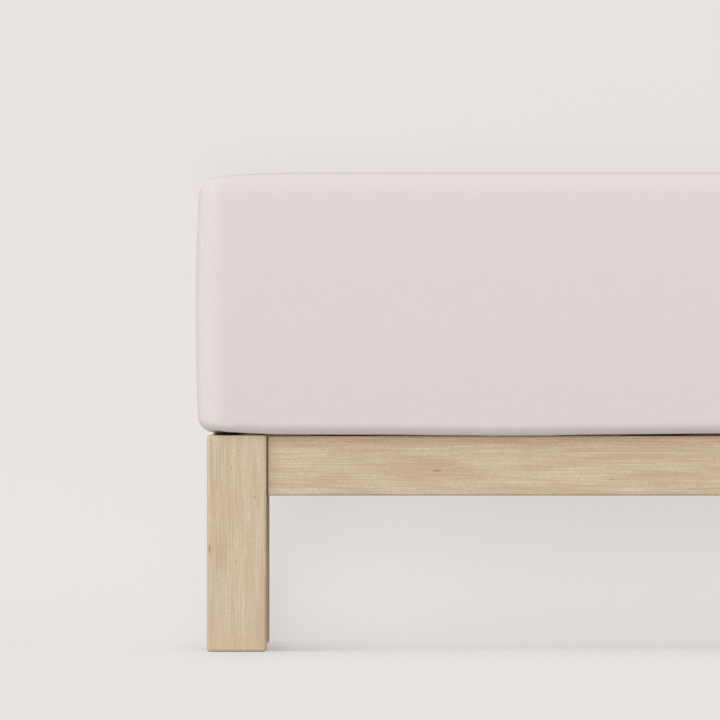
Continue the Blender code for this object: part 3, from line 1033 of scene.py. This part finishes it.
def addStageShade(tree, place):
    x, y, z = addSplit(tree, (-1700, 0), place)
    fromMiddle = addMath(tree, "ABSOLUTE", (-1500, 200), x)
    given = {"endDepth": y, "endHeight": z, "front": y, "low": z, "above": z}
    curves = {}
    for index, (name, stops) in enumerate(stageShade.items()):
        curves[name] = addCurve(tree, (-1100, 700 - 230 * index), given.get(name, fromMiddle), stops)
    atEnd = addMath(tree, "MULTIPLY", (-760, 600), curves["end"], curves["endDepth"])
    shade = addMath(tree, "MULTIPLY", (-600, 500), atEnd, curves["endHeight"])
    for index, (name, end) in enumerate((("front", "frontEnd"), ("low", "lowEnd"), ("above", "frontEnd"))):
        spot = (160 * index - 440, 400 - 100 * index)
        shade = addMath(tree, "MULTIPLY_ADD", spot, curves[name], curves[end], shade)
    return shade


def makeStageMaterial(name, colour, values):
    # one-sided, so that nothing hides the bed from behind or below
    constants = {"Roughness": 1.0, "Specular IOR Level": 0.0, "Emission Strength": values["glow"]}
    material, tree, shader = newMaterial(name, constants)
    place = addNode(tree, "ShaderNodeTexCoord", (-1900, 0)).outputs["Object"]
    # painted shadow of the bed, by place
    shade = addStageShade(tree, place)
    black = (0.0, 0.0, 0.0)
    dimmed = tuple((1 - values["glow"]) * part for part in colour)
    seen = addNode(tree, "ShaderNodeLightPath", (-120, 700)).outputs["Is Camera Ray"]
    lit = addMix(tree, (80, 400), shade, dimmed, black)
    feed(tree, shader.inputs["Base Color"], addMix(tree, (280, 400), seen, values["bounceColour"], lit))
    glow = addMix(tree, (80, 100), shade, values["background"], black)
    feed(tree, shader.inputs["Emission Color"], addMix(tree, (280, 100), seen, black, glow))
    shader.location = (500, 300)
    clear = addNode(tree, "ShaderNodeBsdfTransparent", (500, -400)).outputs[0]
    behind = addNode(tree, "ShaderNodeNewGeometry", (500, 600)).outputs["Backfacing"]
    choice = addFed(tree, "ShaderNodeMixShader", (850, 0), (behind, shader.outputs[0], clear))
    output = tree.nodes["Material Output"]
    output.location = (1050, 0)
    feed(tree, output.inputs["Surface"], choice.outputs[0])
    return material


def changeEdges(obj, chosen, operator, **settings):
    # an edit of the edges that have both their ends among the chosen points
    bpy.ops.object.mode_set(mode="EDIT")
    bpy.ops.mesh.select_mode(type="EDGE")
    bpy.ops.mesh.select_all(action="DESELECT")
    bpy.ops.object.mode_set(mode="OBJECT")
    points = obj.data.vertices
    for edge in obj.data.edges:
        edge.select = all(chosen(points[index].co) for index in edge.vertices)
    bpy.ops.object.mode_set(mode="EDIT")
    operator(**settings)
    bpy.ops.object.mode_set(mode="OBJECT")


def makeStage(values):
    bpy.ops.mesh.primitive_plane_add(size=2 * values["floorHalfSize"])
    floor = bpy.context.object
    floor.name = "studio_floor"
    floor.data.materials.append(makeStageMaterial("studio_floor", values["floorColour"], values))

    bpy.ops.object.select_all(action="DESELECT")
    depth = 2 * values["wallFoot"]
    back = halfWidth + values["wallDistance"]
    slack = 0.001
    bpy.ops.mesh.primitive_plane_add(size=1.0, location=(0, back - depth / 2, values["wallLift"]))
    wall = bpy.context.object
    wall.name = "studio_backdrop"
    wall.scale = (2 * values["wallHalfLength"], depth, 1)
    bpy.ops.object.transform_apply(location=True, rotation=True, scale=True)
    # the back edge is drawn up, and then the bend that it leaves is rounded
    changeEdges(
        wall, lambda point: point.y > back - slack, bpy.ops.mesh.extrude_region_move,
        TRANSFORM_OT_translate={"value": (0, 0, values["wallHeight"])})
    changeEdges(
        wall, lambda point: point.y > back - slack and point.z < values["wallLift"] + slack,
        bpy.ops.mesh.bevel, offset=values["wallFoot"], segments=values["wallFootSteps"], affect="EDGES")
    bpy.ops.object.shade_smooth()
    wall.data.materials.append(makeStageMaterial("studio_backdrop", values["wallColour"], values))
    # it is only looked at: it throws neither shade nor light on the bed
    wall.visible_shadow = False
    wall.visible_diffuse = False


def makeLight(values):
    key = bpy.data.lights.new("key_light", "SUN")
    key.energy = values["keyStrength"]
    key.angle = math.radians(values["keyAngle"])
    lamp = bpy.data.objects.new("key_light", key)
    lamp.rotation_mode = "QUATERNION"
    lamp.rotation_quaternion = Vector(values["keyFrom"]).to_track_quat("Z", "Y")
    bpy.context.scene.collection.objects.link(lamp)


def makeSky(values):
    # white light on the bed, and the backdrop's tone where only the sky is seen
    world = bpy.data.worlds.new("studio_sky")
    bpy.context.scene.world = world
    world.use_nodes = True
    tree = world.node_tree
    sky = tree.nodes["Background"]
    feed(tree, sky.inputs["Color"], (1, 1, 1))
    feed(tree, sky.inputs["Strength"], values["skyStrength"])
    seen = addFed(tree, "ShaderNodeBackground", (0, -200), [values["background"]])
    rays = addNode(tree, "ShaderNodeLightPath", (0, 400))
    shaders = (rays.outputs["Is Camera Ray"], sky.outputs[0], seen.outputs[0])
    choice = addFed(tree, "ShaderNodeMixShader", (250, 0), shaders)
    feed(tree, tree.nodes["World Output"].inputs["Surface"], choice.outputs[0])


makeStage(studio)
makeLight(studio)
makeSky(studio)
bpy.context.scene.view_settings.view_transform = "Standard"
bpy.context.scene.view_settings.look = "None"
print("studio made")
